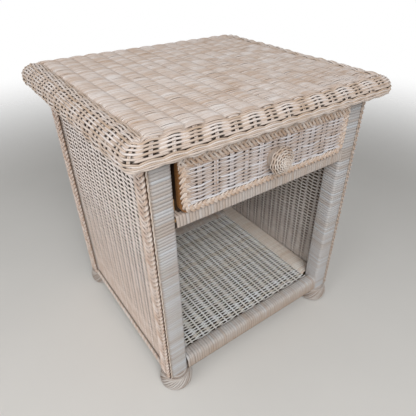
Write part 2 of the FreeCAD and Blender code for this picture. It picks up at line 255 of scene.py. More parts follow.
def addPiece(name, mesh, material, body, nodes):
    piece = bpy.data.objects.new(name, mesh)
    bpy.context.scene.collection.objects.link(piece)
    mesh.materials.clear()
    mesh.materials.append(material)
    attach(piece, body)
    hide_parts(*nodes)


# a slow random wander along a strand, about -1 to 1
def wander(rng, count, every):
    knots = rng.normal(0, 0.6, count // every + 3)
    return np.interp(np.arange(count) / every, np.arange(len(knots)), knots)


# plain weave on any surface(u, v, h): weavers run along u and dip over and under the stakes
def plainWeave(surface, w, rng):
    strands = []
    uFrom, uTo = w["along"]
    vFrom, vTo = w["across"]
    pitch = w["stakePitch"]
    perStake = w["pointsPerStake"]
    closed = w.get("closed", False)
    firstStake = w.get("firstStake", 0.0)
    rows = int((vTo - vFrom) / w["rowPitch"]) + 1
    step = pitch / perStake
    if closed:
        u = uFrom + np.arange(round((uTo - uFrom) / step)) * step
    else:
        begin = math.floor((uFrom - firstStake) / step)
        u = np.arange(begin, math.ceil((uTo - firstStake) / step) + 1) * step
        u = np.unique(np.concatenate([np.clip(u + firstStake, uFrom, uTo), w.get("extra", [])]))
    for i in range(rows):
        v = vFrom + (i + 0.5) * (vTo - vFrom) / rows
        share = (v - vFrom) / (vTo - vFrom)
        turn = np.cos(math.pi * (u - firstStake) / pitch + math.pi * (i % 2))
        swing = np.sign(turn) * np.abs(turn) ** w["crest"]
        dip = w["dip"](share, u) if callable(w["dip"]) else w["dip"]
        radius = w["radius"](share) if callable(w["radius"]) else w["radius"]
        stray = wander(rng, len(u), perStake * 2) * w.get("stray", 0.3)
        radius = radius * (1 + reedSpread * rng.normal()) * (1 + w.get("swell", 0) * (1 - np.abs(turn)))
        stake = np.round((u - firstStake) / pitch).astype(int)
        stake -= stake.min()
        uneven = np.clip(1 + w.get("uneven", 0.2) * rng.normal(size=stake.max() + 1), 0.3, 1.4)
        dip = dip * uneven[stake]
        if closed:
            stray *= np.sin(np.linspace(0, math.pi, len(u)))
        if share > w.get("waleFrom", 2):       # waling rows lie over every stake and pinch between
            part = w["wale"](u)
            swing = swing * (1 - part) + (np.abs(turn) ** 0.9 - 0.25) * part
            pinch = w["pinch"] * part * (1 - np.abs(turn))
            stray = stray + pinch * ((w["waleFrom"] + 1) / 2 - share) * (vTo - vFrom)
        h = dip * swing
        points = surface(u, v + stray, h)
        tone = rng.uniform(0, 1)
        tone = w["tone"](share, tone) if "tone" in w else tone
        strands.append((points, radius, tone, np.clip(h / w["deep"], -1, 1), closed,
                        surface(u, v + stray, h + 1) - points, w.get("thick")))
    return strands


# stakes cross the weavers, each a small bundle of rods
def stakes(surface, w, rng):
    strands = []
    vFrom, vTo = w["across"]
    v = np.linspace(vFrom, vTo, w["stakePoints"])
    first = w.get("firstStake", 0.0)
    uFrom, uTo = w["along"]
    k = math.ceil((uFrom - first) / w["stakePitch"])
    while first + k * w["stakePitch"] < uTo - 0.01:
        u = first + k * w["stakePitch"]
        for rod in range(w["stakeRods"]):
            off = (rod - (w["stakeRods"] - 1) / 2) * w["stakeRadius"] * 2.05 / w.get("unit", 1.0)
            strands.append((surface(u + off + 0 * v, v, 0 * v), w["stakeRadius"], rng.uniform(0, 1),
                            w.get("stakeLift", 0.0) + 0 * v, False))
        k += 1
    return strands


print("strand tools ready")

# Top field and border

# flare: share by which the rows lengthen over the front and back edges;
# tuck: where the rows' ends start to bend down, where they end, and how deep; extra points follow the bend
topField = {"along": reachOf("top_weave", "x", 1), "across": reachOf("top_weave", "y", 18), "middle": 604.8,
            "rowPitch": 2.0, "stakePitch": 32.4, "pointsPerStake": 6, "crest": 0.8, "dip": 1.8, "deep": 1.8,
            "radius": 1.3, "stray": 0.5, "stakeRods": 3, "stakeRadius": 1.3, "stakePoints": 30, "flare": 0.1,
            "tuck": (235, 246, 7.0), "extra": [end * u for end in (-1, 1) for u in range(236, 244, 2)]}
# tight rows: tan patches rubbed through the wash, no hole between the rows, and painted shade along the
# valleys between the ribs
topLook = {"tan": "#BCA28D", "wash": "#E2DCD9", "stain": "#A98A70", "dip": "#5E4836", "blotchMm": 45,
           "streakMm": 25, "grainMm": 3.0, "tonePart": 0.5, "streakPart": 0.9, "blotchPart": 1.2,
           "stainPart": 0.35, "dipFrom": 0.5, "dipTo": -0.9, "dipPart": 0.8, "rough": 0.66}
# open rows: reed by reed paler or browner, and painted shade, nearly black, where a reed goes under
openLook = dict(topLook, tonePart=0.9, streakPart=0.7, blotchPart=0.8, dip="#241A12", dipFrom=-0.3,
                dipTo=-0.6, dipPart=0.97)

fieldHalf = [reachOf("top_weave", axis)[1] for axis in "xy"]
borderHalf = [reachOf("top_border", axis)[1] for axis in "xy"]
# lengths along the border are counted in stake pitches, each about unit mm;
# profile: (mm out from the field's edge, height), rolled over the nose and tucked under
border = {"inner": fieldHalf, "overhang": np.subtract(borderHalf, fieldHalf), "corner": (0.5, 17),
          "frontPitches": 15, "sidePitches": 14, "cornerPitches": 1, "unit": 32.6, "closed": True,
          "rowPitch": 3.0, "stakePitch": 1.0, "firstStake": 0.5, "pointsPerStake": 8, "crest": 1.6,
          "dip": lambda share, u: 2.3 * np.clip(0.3 + share * 3, 0, 1), "deep": 2.3, "stray": 0.3,
          "uneven": 0.3, "radius": lambda share: 1.7 - 0.25 * (share > 0.68), "swell": 0.06,
          "waleFrom": 0.68, "pinch": 0.25, "stakeRods": 3, "stakeRadius": 0.95, "stakePoints": 22,
          "stakeLift": 0.2, "cover": 18, "under": 4.5, "ease": 5,
          "profile": [(-8, 599.5), (-1, 602.6), (8, 604.0), (16, 603.8), (25, 601.6), (33.5, 596.5),
                      (39.2, 589.0), (41, 581), (40, 574.5), (35, 571.3), (27, 572)]}
border["halfLap"] = border["frontPitches"] + border["sidePitches"] + 2 * border["cornerPitches"]
border["along"] = (0, 2 * border["halfLap"])
# the border: open rows, with painted shade where a reed goes under
borderLook = dict(openLook, tan="#BCA590", wash="#DFD6D1", blotchMm=45, dipFrom=-0.25, dipTo=-0.6)


# 1 along the border's front and back runs, 0 along its sides
def endRuns(u):
    run = border["frontPitches"]
    halfLap = border["halfLap"]
    fromMiddle = np.abs(np.mod(u + (halfLap - run) / 2, halfLap) - halfLap / 2)
    return np.clip(run / 2 + 1 - fromMiddle, 0, 1)


border["wale"] = endRuns


# a smooth curve through the points: the length along it, its places and its normals
def rolledProfile(control, samples=240):
    control = np.array(control, dtype=float)
    fine = np.linspace(0, len(control) - 1, samples)
    smooth = np.empty((samples, 2))
    for axis in range(2):          # Catmull-Rom through the points
        padded = np.concatenate([[2 * control[0, axis] - control[1, axis]], control[:, axis],
                                 [2 * control[-1, axis] - control[-2, axis]]])
        k = np.minimum(fine.astype(int), len(control) - 2)
        f = fine - k
        a, b, c, d = (padded[k + j] for j in range(4))
        smooth[:, axis] = 0.5 * (2 * b + (c - a) * f + (2 * a - 5 * b + 4 * c - d) * f ** 2
                                 + (3 * b - a - 3 * c + d) * f ** 3)
    steps = np.linalg.norm(np.diff(smooth, axis=0), axis=1)
    arc = np.concatenate([[0], np.cumsum(steps)])
    slope = np.gradient(smooth, axis=0)
    slope /= np.linalg.norm(slope, axis=1, keepdims=True)
    normal = np.stack([-slope[:, 1], slope[:, 0]], axis=1)
    return arc, smooth, normal


borderArc, borderPath, borderNormal = rolledProfile(border["profile"])
border["across"] = (0, borderArc[-1])
rising = 60            # samples over which the profile only goes outward
border["begin"] = np.interp(0, borderPath[:rising, 0], borderArc[:rising])     # at the field's edge


# a point of the rounded rectangle, phase counted in stake pitches from the front left
def borderLoop(phase, out):
    share = out / border["overhang"][0]
    halfX = border["inner"][0] + border["overhang"][0] * share
    halfY = border["inner"][1] + border["overhang"][1] * share
    radius = border["corner"][0] + (border["corner"][1] - border["corner"][0]) * np.clip(share, 0, 1)
    straightX = halfX - radius
    straightY = halfY - radius
    turnSpan = border["cornerPitches"]
    spans = [border["frontPitches"], turnSpan, border["sidePitches"], turnSpan] * 2
    phase = np.mod(phase, sum(spans))
    x = np.zeros_like(phase)
    y = np.zeros_like(phase)
    begin = 0
    for index, span in enumerate(spans):
        on = (phase >= begin) & (phase < begin + span)
        f = (phase - begin) / span
        quarter = index // 2       # 0 front, 1 right, 2 back, 3 left
        turn = math.pi / 2 * quarter
        longHalf, offHalf = (straightX, halfY) if quarter % 2 == 0 else (straightY, halfX)
        if index % 2 == 0:
            a = -longHalf + 2 * longHalf * f
            b = -offHalf
        else:
            angle = -math.pi / 2 + f * math.pi / 2
            a = longHalf + radius * np.cos(angle)
            b = -(offHalf - radius) + radius * np.sin(angle)
        px = a * math.cos(turn) - b * math.sin(turn)
        py = a * math.sin(turn) + b * math.cos(turn)
        x = np.where(on, px, x)
        y = np.where(on, py, y)
        begin += span
    return x, y


def borderSurface(u, v, h):
    v = np.clip(v + 0 * u, 0, borderArc[-1])
    hidden = np.clip((border["begin"] + border["cover"] - v) / border["ease"], 0, 1)
    h = h - border["under"] * border["wale"](u) * hidden       # front and back rows go under the field
    out = np.interp(v, borderArc, borderPath[:, 0]) + h * np.interp(v, borderArc, borderNormal[:, 0])
    z = np.interp(v, borderArc, borderPath[:, 1]) + h * np.interp(v, borderArc, borderNormal[:, 1])
    x, y = borderLoop(u + 0 * v, out)
    return np.stack([x, y, z], axis=1)


# the field's tight rows run on over the front and back edges to the bend
def topSurface(u, v, h):
    begin, end, drop = topField["tuck"]
    v = v + 0 * u
    h = h - drop * np.clip((np.abs(u) - begin) / (end - begin), 0, 1) ** 2
    past = np.clip(np.abs(v) - border["inner"][1], 0, None)
    arc = border["begin"] + past
    lean = np.interp(arc, borderArc, borderNormal[:, 0]) * (past > 0)
    out = np.interp(arc, borderArc, borderPath[:, 0]) * (past > 0) + h * lean
    edge, rim = (np.interp(place, borderArc, borderPath[:, 1]) for place in (arc, border["begin"]))
    wide, deep = border["overhang"]
    y = np.sign(v) * (np.minimum(np.abs(v), border["inner"][1]) + out * deep / wide)
    z = topField["middle"] + (edge - rim) + h * np.sqrt(1 - lean ** 2)
    return np.stack([u * (1 + topField["flare"] * out / wide), y, z], axis=1)


topReed = limedReed("limed_willow_reed_top", topLook)
rng = np.random.RandomState(11)
weavers = plainWeave(topSurface, topField, rng)
half = len(weavers) // 2
strandPiece("top_weave_front", weavers[:half], topReed, "carcass", ["top_weave"])
strandPiece("top_weave_back", weavers[half:] + stakes(topSurface, topField, rng), topReed,
            "carcass", ["top_weave"])
print("top field woven,", len(weavers), "weavers")


# a sheet of quads laid on a surface, behind the strands
def backingSheet(name, surface, uRange, vRange, cuts, depth, material, body, nodes):
    shape = bmesh.new()
    bmesh.ops.create_grid(shape, x_segments=cuts[0], y_segments=cuts[1], size=0.5)
    spots = np.array([vertex.co for vertex in shape.verts])
    u = uRange[0] + (spots[:, 0] + 0.5) * (uRange[1] - uRange[0])
    v = vRange[0] + (spots[:, 1] + 0.5) * (vRange[1] - vRange[0])
    placed = surface(u, v, depth + 0 * u) * mm
    for vertex, spot in zip(shape.verts, placed):
        vertex.co = spot
    bmesh.ops.remove_doubles(shape, verts=shape.verts, dist=0.02 * mm)
    mesh = bpy.data.meshes.new(name)
    shape.to_mesh(mesh)
    shape.free()
    for face in mesh.polygons:
        face.use_smooth = True
    addPiece(name, mesh, material, body, nodes)


# painted shade: a dull brown stand-in for the dark inside the weave, seen through the slits and in the seams
def paintedShadeReed(name, colour):
    material, tree = emptyMaterial(name)
    shade = mottled(tree, colour, 3, 0.6, 1.3)
    closeMaterial(tree, {"Roughness": 0.9, "Specular IOR Level": 0.15}, {"Base Color": (shade, 2)})
    return material


borderReed = limedReed("limed_willow_reed_border", borderLook)
# dark sheets of painted shade, laid behind and inside the weaves
shadeSheetReed = paintedShadeReed("reed_core_unwashed", "#3A2B20")
rng = np.random.RandomState(12)
strandPiece("top_border_weave", plainWeave(borderSurface, border, rng), borderReed,
            "carcass", ["top_border"])
strandPiece("top_border_stakes", stakes(borderSurface, border, rng), borderReed,
            "carcass", ["top_border"])
# a dark sheet inside the roll: painted shade through the slits
backingSheet("top_border_core", borderSurface, border["along"], border["across"], (186, 20), -0.6, shadeSheetReed,
             "carcass", ["top_border"])
print("border woven")

# Side, back and shelf panels

# how far a row has opened up, from 0 where it is tight near the floor to 1
def opening(share):
    return np.clip((share - 0.05) / 0.45, 0, 1)


# rows drawn a quarter coarser than the 3.45 mm of the real weave, whose holes are too fine to show
sidePanel = {"along": reachOf("right_panel", "y", 2), "across": reachOf("right_panel", "z", -1),
             "middle": centreOf("right_panel", "x"), "rowPitch": 4.4, "stakePitch": 370 / 11,
             "pointsPerStake": 8, "crest": 1.6, "stray": 0.15,
             "dip": lambda share, u: 0.35 + 1.85 * opening(share), "deep": 2.2,
             "radius": lambda share: 2.15 - 0.15 * opening(share), "thick": 1.5, "uneven": 0.12,
             # tone rising with height: partly painted light, brighter towards the top
             "tone": lambda share, tone: 0.3 * tone + 0.7 * np.clip(share * 1.4 - 0.1, 0, 1),
             "stakeRods": 2, "stakeRadius": 1.0, "stakePoints": 12, "stakeLift": 0.2}
# left and back: tan by the floor, nearly white towards the top, partly the reed's own tan and partly painted
# light for the stronger light on the upper panel
sideLook = dict(openLook, tan="#C7B2A3", wash="#FFF5F0", stain="#A98A78", blotchMm=30, tonePart=0.9,
                streakPart=0.6, blotchPart=0.5, stainPart=0.2, dipFrom=-0.35, dipTo=-0.65)
backPanel = dict(sidePanel, along=reachOf("back_panel", "x", 1), stakePitch=406 / 13,
                 middle=centreOf("back_panel", "y"))
# the shelf's rows are drawn a quarter coarser than the 3 mm of the real weave, too fine to show
shelf = {"along": reachOf("shelf_panel", "x", 2), "across": reachOf("shelf_panel", "y", 1),
         "middle": centreOf("shelf_panel", "z"), "rowPitch": 3.8, "stakePitch": 33.6, "pointsPerStake": 6,
         "crest": 1.2, "stray": 0.2, "dip": 2.6, "deep": 2.6, "radius": 1.55, "swell": 0.1, "uneven": 0.2,
         "stakeRods": 2, "stakeRadius": 1.2, "stakePoints": 12, "stakeLift": 0.2}
# the shelf: the palest reed under a cool white wash, partly its own colour and partly painted light against
# the shade inside the bay
shelfLook = dict(openLook, tan="#D7D1C7", wash="#EBEEF0", stain="#A8937F", blotchMm=60)
sideReed = limedReed("limed_willow_reed_sides", sideLook)
# the right side: a greyer, lighter copy with paler holes, painted light for the cool bounce light on its
# shaded inner face; its core sheet is a paler painted shade
rightReed = limedReed("limed_willow_reed_right_side",
                      dict(sideLook, tan="#CBBFB6", wash="#F8F8F8", dip="#54453A"))
rightShadeSheet = paintedShadeReed("reed_core_washed", "#54453A")
shelfReed = limedReed("limed_willow_reed_shelf", shelfLook)


# weavers and stakes on a surface, and a sheet of painted shade in their midst that shows through the holes
def wovenPanel(name, surface, w, seed, reed, core, node):
    rng = np.random.RandomState(seed)
    strands = plainWeave(surface, w, rng) + stakes(surface, w, rng)
    strandPiece(name + "_weave", strands, reed, "carcass", [node])
    backingSheet(name + "_core", surface, w["along"], w["across"], (4, 4), -0.2, core,
                 "carcass", [node])


for side, label in ((-1, "left"), (1, "right")):
    def sideSurface(u, v, h):
        return np.stack([side * (sidePanel["middle"] + h), u, v + 0 * u], axis=1)

    wovenPanel(label + "_panel", sideSurface, sidePanel, 20 + side, sideReed if side < 0 else rightReed,
               shadeSheetReed if side < 0 else rightShadeSheet, label + "_panel")


def backSurface(u, v, h):
    return np.stack([u, backPanel["middle"] + h, v + 0 * u], axis=1)


def shelfSurface(u, v, h):
    return np.stack([u, v + 0 * u, shelf["middle"] + h], axis=1)


wovenPanel("back_panel", backSurface, backPanel, 23, sideReed, shadeSheetReed, "back_panel")
wovenPanel("shelf", shelfSurface, shelf, 24, shelfReed, shadeSheetReed, "shelf_panel")
print("panels woven")

# Cane-wrapped posts and rails

# section of a rail or post, corner radii from lower left anticlockwise
def roundedSection(aFrom, aTo, bFrom, bTo, radii, perCorner=4):
    corners = [(aFrom, bFrom, 1, 1, 180), (aTo, bFrom, -1, 1, 270),
               (aTo, bTo, -1, -1, 0), (aFrom, bTo, 1, -1, 90)]
    points = []
    normals = []
    for (a, b, inA, inB, start), radius in zip(corners, radii):
        for angle in np.radians(np.linspace(start, start + 90, perCorner)):
            normal = (math.cos(angle), math.sin(angle))
            points.append((a + inA * radius + radius * normal[0], b + inB * radius + radius * normal[1]))
            normals.append(normal)
    return np.array(points), np.array(normals)


# flat cane wound round a section, one strand a turn; place(a, b, w) puts a point in the frame
def caneWrap(section, normals, place, wFrom, wTo, w, rng):
    section = np.vstack([section, section[:1]])
    normals = np.vstack([normals, normals[:1]])
    gaps = np.linalg.norm(np.diff(section, axis=0), axis=1)
    girth = np.concatenate([[0], np.cumsum(gaps)]) / gaps.sum()
    turns = int(round((wTo - wFrom) / w["pitch"]))
    pitch = (wTo - wFrom) / turns
    tones = np.clip(0.6 + 0.1 * wander(rng, turns, w["patch"]) + rng.normal(0, 0.15, turns), 0, 1)
    origin = place(np.zeros(1), np.zeros(1), np.zeros(1))
    outward = place(normals[:, 0], normals[:, 1], np.zeros(len(normals))) - origin
    sunk = section - normals * (w["thick"] / 2 - w["proud"])
    strands = []
    for i in range(turns):
        along = wFrom + pitch * (i + 0.5 + w["lean"] * (girth - 0.5)) + w["jitter"] * rng.normal()
        tone = w["tone"](along.mean(), tones[i]) if "tone" in w else tones[i]
        tone = tone * w["worn"](section) if "worn" in w else tone
        points = place(sunk[:, 0], sunk[:, 1], along)
        strands.append((points, pitch * w["halfPart"], tone, None, False, outward, w["thick"]))
    return strands


# halfPart: half a strand's width as a share of the pitch, so turns overlap a little;
# worn: how much wash is left round the section, least on a post's outer face and low on the front rail
railWrap = {"pitch": 6.2, "thick": 1.6, "halfPart": 0.56, "lean": 1.0, "patch": 5, "proud": 0.2,
            "jitter": 0.12}
postWrap = dict(railWrap, thick=1.7, patch=6, ends=(38, 592), round=6, rail=(431, 457),
                worn=lambda section: np.clip((section[:, 0] - section[:, 0].min()) / 6, 0.1, 1))
drawerRailWrap = dict(railWrap, worn=lambda section: 0.7 + 0 * section[:, 0])
frontWrap = dict(railWrap, worn=lambda section: np.clip((section[:, 1] - 60) / 16, 0.05, 1.2))
# lime-washed binding cane: flat, matt and grey-white, with a painted shade line between the turns
caneLook = dict(topLook, streakMm=30, tonePart=1.0, streakPart=0.9, blotchPart=0.4, dip="#5F4D40",
                dipFrom=0.6, dipTo=-0.1, dipPart=0.85)
postLook = dict(caneLook, tan="#AB9D92", wash="#C1C3C6", stain="#A68F7D", blotchMm=50, stainPart=0.25)
railLook = dict(caneLook, tan="#B29F90", wash="#C6C4C3", stain="#A58A70", blotchMm=45, stainPart=0.3)
postCane = limedReed("limed_rattan_cane_posts", postLook)
railCane = limedReed("limed_rattan_cane_rails", railLook)
# the side rails: a lighter copy of the rail cane, painted light against the shade inside the bay
sideRailCaneLightened = limedReed("limed_rattan_cane_side_rails", dict(railLook, tan="#D2C0B0", wash="#E2DCD5"))


# beside the drawer rail the wash is rubbed off the posts
def postTone(z, tone):
    low, high = postWrap["rail"]
    return tone * 0.25 if low < z < high else tone


postWrap["tone"] = postTone

for endY, endLabel in ((-1, "front"), (1, "back")):
    for endX, sideLabel in ((-1, "left"), (1, "right")):
        nodeName = endLabel + "_" + sideLabel + "_post"
        postX = centreOf(nodeName, "x")
        postY = centreOf(nodeName, "y")
        halfSide = reachOf(nodeName, "x")[1] - postX
        section, normals = roundedSection(-halfSide, halfSide, -halfSide, halfSide, [postWrap["round"]] * 4)

        def postPlace(a, b, w):
            return np.stack([postX - endX * a, postY - endY * b, w], axis=1)

        rng = np.random.RandomState(40 + endX + 3 * endY)
        strands = caneWrap(section, normals, postPlace, *postWrap["ends"], postWrap, rng)
        strandPiece(nodeName + "_wrap", strands, postCane, "carcass", [nodeName])

# past: how far the winding runs on into the posts
rails = [{"node": "front_bottom_rail", "axis": "x", "radii": (3, 3, 10, 10), "past": 0, "wrap": frontWrap},
         {"node": "back_bottom_rail", "axis": "x", "radii": (3, 3, 3, 10), "past": 1, "wrap": railWrap},
         {"node": "left_bottom_rail", "axis": "y", "radii": (3, 3, 10, 3), "past": 1, "wrap": railWrap},
         {"node": "right_bottom_rail", "axis": "y", "radii": (3, 3, 3, 10), "past": 1, "wrap": railWrap},
         {"node": "drawer_rail", "axis": "x", "radii": [2.5] * 4, "past": 1, "wrap": drawerRailWrap}]
for index, rail in enumerate(rails):
    nodeName = rail["node"]
    sideToSide = rail["axis"] == "x"
    thickness = reachOf(nodeName, "y" if sideToSide else "x")
    section, normals = roundedSection(*thickness, *reachOf(nodeName, "z"), rail["radii"])

    def railPlace(a, b, w):
        return np.stack([w, a, b] if sideToSide else [a, w, b], axis=1)

    rng = np.random.RandomState(50 + index)
    ends = reachOf(nodeName, rail["axis"], rail["past"])
    strandPiece(nodeName + "_wrap", caneWrap(section, normals, railPlace, *ends, rail["wrap"], rng),
                railCane if sideToSide else sideRailCaneLightened, "carcass", [nodeName])
print("posts and rails wrapped")

# Plaits and edging

# flat plait along a path: centre, sideways and outward are one row a sample, s in mm
def plait(s, centre, sideways, outward, width, p, rng):
    strands = []
    reeds = p["reeds"]
    for strand in range(p["strands"]):
        angle = 2 * math.pi * (s / p["period"] + strand / p["strands"])
        bundle = p["radius"] * 2.0 * reeds
        reach = (np.asarray(width) - bundle) / 2
        for reed in range(reeds):
            off = (reed - (reeds - 1) / 2) * p["radius"] * 2.0
            side = reach * np.sin(angle) + off
            high = p["swing"] * np.sin(2 * angle)
            points = centre + sideways * side[:, None] + outward * high[:, None]
            strands.append((points, p["radius"], rng.uniform(0, 1), high / p["swing"], False))
    return strands


# reeds twisted together along s; place puts a point so far out from the cord's line and so far across
def twistedCord(s, cord, place, rng):
    strands = []
    for strand in range(cord["strands"]):
        angle = 2 * math.pi * (s / cord["twist"] + strand / cord["strands"])
        out = cord["outPart"] * cord["radius"] * np.cos(angle)
        across = cord["acrossPart"] * cord["radius"] * np.sin(angle)
        strands.append((place(out, across), cord["radius"], rng.uniform(0, 1), np.cos(angle), False))
    return strands


# the right side's plaits are nailed on nearer the corners, so their loops show past the post
sidePlait = {"width": 36, "period": 50, "strands": 5, "reeds": 2, "radius": 1.8, "swing": 2.0,
             "stand": 247.2, "middle": {"left": 204.5, "right": 209.0}, "from": 43, "to": 592, "step": 2.4}
seamCord = {"stand": 244.0, "middle": 221.5, "radius": 1.0, "strands": 2, "twist": 19, "outPart": 0.8,
            "acrossPart": 0.8}
cornerCord = dict(seamCord, stand=243.2, middle=224.0, radius=1.1, twist=24)
sideEdging = {"stand": 244.0, "height": 45, "reach": 190, "step": 2.0, "radius": 2.2, "strands": 3,
              "twist": 15, "outPart": 1.0, "acrossPart": 1.3}
# plaited reed: warm tan, the wash left along it in streaks, painted shade in brown where strands cross under
plaitLook = dict(topLook, tan="#BEA898", wash="#D6CFCA", tonePart=0.9, streakPart=1.0, dipFrom=0.0,
                 dipTo=-0.8, dipPart=0.75)
plaitReed = limedReed("limed_willow_reed_plaited", plaitLook)
sidePlaitReed = limedReed("limed_willow_reed_side_plait", dict(plaitLook, tan="#BFA593", wash="#DBCFC7"))
# the seam cord: painted shade along the gap between plait and post
seamShadeCord = paintedShadeReed("reed_cord_unwashed", "#4E3929")
cornerReed = limedReed("limed_willow_reed_corner_cord",
                       dict(plaitLook, tan="#BFAD9E", wash="#D8CDC4", dipPart=0.35))

for side, label in ((-1, "left"), (1, "right")):
    for end, endLabel in ((-1, "front"), (1, "back")):
        s = np.arange(0, sidePlait["to"] - sidePlait["from"] + sidePlait["step"], sidePlait["step"])
        centre = np.stack([side * sidePlait["stand"] + 0 * s, end * sidePlait["middle"][label] + 0 * s,
                           sidePlait["from"] + s], axis=1)
        rng = np.random.RandomState(60 + side + 3 * end)
        strands = plait(s, centre, np.array([[0.0, 1.0, 0.0]]), np.array([[float(side), 0.0, 0.0]]),
                        sidePlait["width"], sidePlait, rng)
        strandPiece(label + "_" + endLabel + "_plait", strands, sidePlaitReed,
                    "carcass", [label + "_" + endLabel + "_braid"])
        # a dark cord in the seam, painted shade for the gap there, and a pale one twisted down the post's
        # corner
        for cord, cordLabel, reed in ((seamCord, "_seam", seamShadeCord), (cornerCord, "_cord", cornerReed)):
            def cordPlace(out, across):
                x = side * (cord["stand"] + out)
                y = end * (cord["middle"] + across)
                return np.stack([x, y, centre[:, 2]], axis=1)

            strandPiece(label + "_" + endLabel + cordLabel, twistedCord(s, cord, cordPlace, rng), reed,
                        "carcass", [label + "_" + endLabel + "_braid"])

    def edgingPlace(out, across):
        return np.stack([side * (sideEdging["stand"] + out), y, sideEdging["height"] + across], axis=1)

    y = np.arange(-sideEdging["reach"], sideEdging["reach"] + 1, sideEdging["step"])
    rng = np.random.RandomState(70 + side)
    strandPiece(label + "_edging_rope", twistedCord(y, sideEdging, edgingPlace, rng), plaitReed,
                "carcass", [label + "_bottom_edging"])
print("plaits laid")

# Feet

# feet: darker and browner than the plaits
footReed = limedReed("limed_willow_reed_feet", dict(plaitLook, tan="#948275", wash="#C6C1BD"))
foot = {"height": 42, "loops": 13, "waves": 2, "swing": 16.5, "radius": 1.5, "points": 64, "pairGap": 0.28,
        "lift": 0.9, "sheet": (0.5, 41.5),
        "profile": [(0, 26), (4, 30.5), (10, 33.2), (18, 34.2), (28, 32.6), (36, 29.6), (42, 27.5)],
        "rings": [(1.6, 20), (1.6, 23), (2.2, 26), (40.5, 29), (42.5, 26.5), (43.5, 24), (44, 21.5)]}
footHeights, footRadii = np.array(foot["profile"], dtype=float).T


def footSurface(turn, z, h):
    r = np.interp(z, footHeights, footRadii) + h
    return r * np.cos(turn), r * np.sin(turn), z


for endY, endLabel in ((-1, "front"), (1, "back")):
    for endX, sideLabel in ((-1, "left"), (1, "right")):
        nodeName = endLabel + "_" + sideLabel + "_foot"
        footX, footY = (centreOf(endLabel + "_" + sideLabel + "_post", axis) for axis in "xy")
        rng = np.random.RandomState(80 + endX + 3 * endY)
        turn = np.linspace(0, 2 * math.pi, foot["points"], endpoint=False)
        strands = []
        for loop in range(foot["loops"]):
            for pair in (0, 1):
                angle = foot["waves"] * turn + 2 * math.pi * (loop + foot["pairGap"] * pair) / foot["loops"]
                z = foot["height"] / 2 + foot["swing"] * np.sin(angle)
                x, y, z = footSurface(turn, z, foot["lift"] * np.cos(angle))
                points = np.stack([footX + x, footY + y, np.maximum(z, foot["radius"])], axis=1)
                strands.append((points, foot["radius"], rng.uniform(0, 1), np.cos(angle), True))
        for z, r in foot["rings"]:     # close the base and the seat round the post
            points = np.stack([footX + r * np.cos(turn), footY + r * np.sin(turn), z + 0 * turn], axis=1)
            strands.append((points, foot["radius"], rng.uniform(0, 1), 0 * turn, True))
        strandPiece(nodeName + "_wrap", strands, footReed, "carcass", [nodeName])

        def footSheet(u, v, h):
            x, y, z = footSurface(u, v, h)
            return np.stack([footX + x, footY + y, z], axis=1)

        # a dark sheet inside the foot: painted shade between the loops
        backingSheet(nodeName + "_core", footSheet, (0, 2 * math.pi), foot["sheet"], (32, 12), -2.0,
                     shadeSheetReed, "carcass", [nodeName])
print("feet bound")

# Drawer front

drawerWeave = {"along": reachOf("drawer_front_weave", "x", 9), "across": (473, 541), "middle": -229.8,
               "rowPitch": 3.3, "stakePitch": 348 / 11, "pointsPerStake": 8, "crest": 1.8, "stray": 0.2,
               "dip": 2.1, "deep": 2.1, "radius": 1.62, "uneven": 0.3,
               "stakeRods": 3, "stakeRadius": 1.4, "stakePoints": 4, "stakeLift": 0.2}
# the drawer: a grey wash on tan, with painted shade between the reeds
drawerLook = dict(openLook, tan="#B5A193", wash="#D8D6D9", stain="#A38670", blotchMm=40, dipFrom=-0.4,
                  dipTo=-0.75)
# tuck: how far the plaits at the sides run up under the one along the top
drawerPlait = {"period": 27, "strands": 3, "reeds": 3, "radius": 1.3, "swing": 1.5, "stand": -229.8,
               "corner": 12, "left": 22, "bottom": 17, "right": 20.5, "top": 27, "tuck": 9, "step": 2,
               "box": reachOf("drawer_front_braid", "x", 2) + reachOf("drawer_front_braid", "z", 1)}
topPlait = dict(drawerPlait, strands=5, reeds=2, period=42, radius=1.5)
drawerReed = limedReed("limed_willow_reed_drawer", drawerLook)
drawerPlaitReed = limedReed("limed_willow_reed_drawer_plait",
                            dict(plaitLook, tan="#BEA28B", wash="#DAD0C8", tonePart=0.8, dipPart=0.55))


def drawerSurface(u, v, h):
    return np.stack([u, drawerWeave["middle"] - h, v + 0 * u], axis=1)


rng = np.random.RandomState(90)
strands = plainWeave(drawerSurface, drawerWeave, rng) + stakes(drawerSurface, drawerWeave, rng)
strandPiece("drawer_weave", strands, drawerReed, "drawer", ["drawer_front_weave"])
# a dark sheet behind the drawer's weave: painted shade in its holes
backingSheet("drawer_weave_core", drawerSurface, reachOf("drawer_front_weave", "x", 2),
             drawerWeave["across"], (4, 2), -0.3, shadeSheetReed, "drawer", ["drawer_front_weave"])


